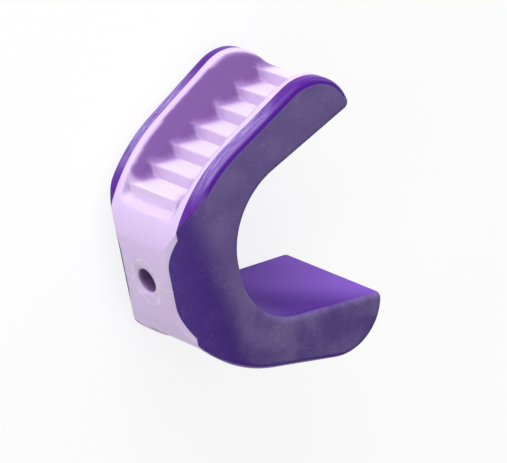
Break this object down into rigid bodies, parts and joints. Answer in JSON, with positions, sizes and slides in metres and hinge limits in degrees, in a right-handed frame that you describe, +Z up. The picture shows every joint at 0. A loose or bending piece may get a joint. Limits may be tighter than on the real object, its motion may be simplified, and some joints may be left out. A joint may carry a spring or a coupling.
{
  "type": "bite block",
  "caption": "C-shaped mouth prop: a dark soft body with a lighter liner that forms a ribbed tooth trough on each wing, and a cord hole through the spine.",
  "frame": {"origin": "on the floor under the middle of the block's box, with the block lying on one side face", "axes": "+Z up across the width, +X toward the open end of the C, +Y toward the upper wing"},
  "size_m": [0.0324, 0.0428, 0.0202],
  "materials": {
    "body": "satin, finely speckled",
    "liner": "satin, soft to the touch"
  },
  "bodies": {
    "root": {"soft_body": "body", "tooth_liner": "liner"}
  },
  "joints": []
}
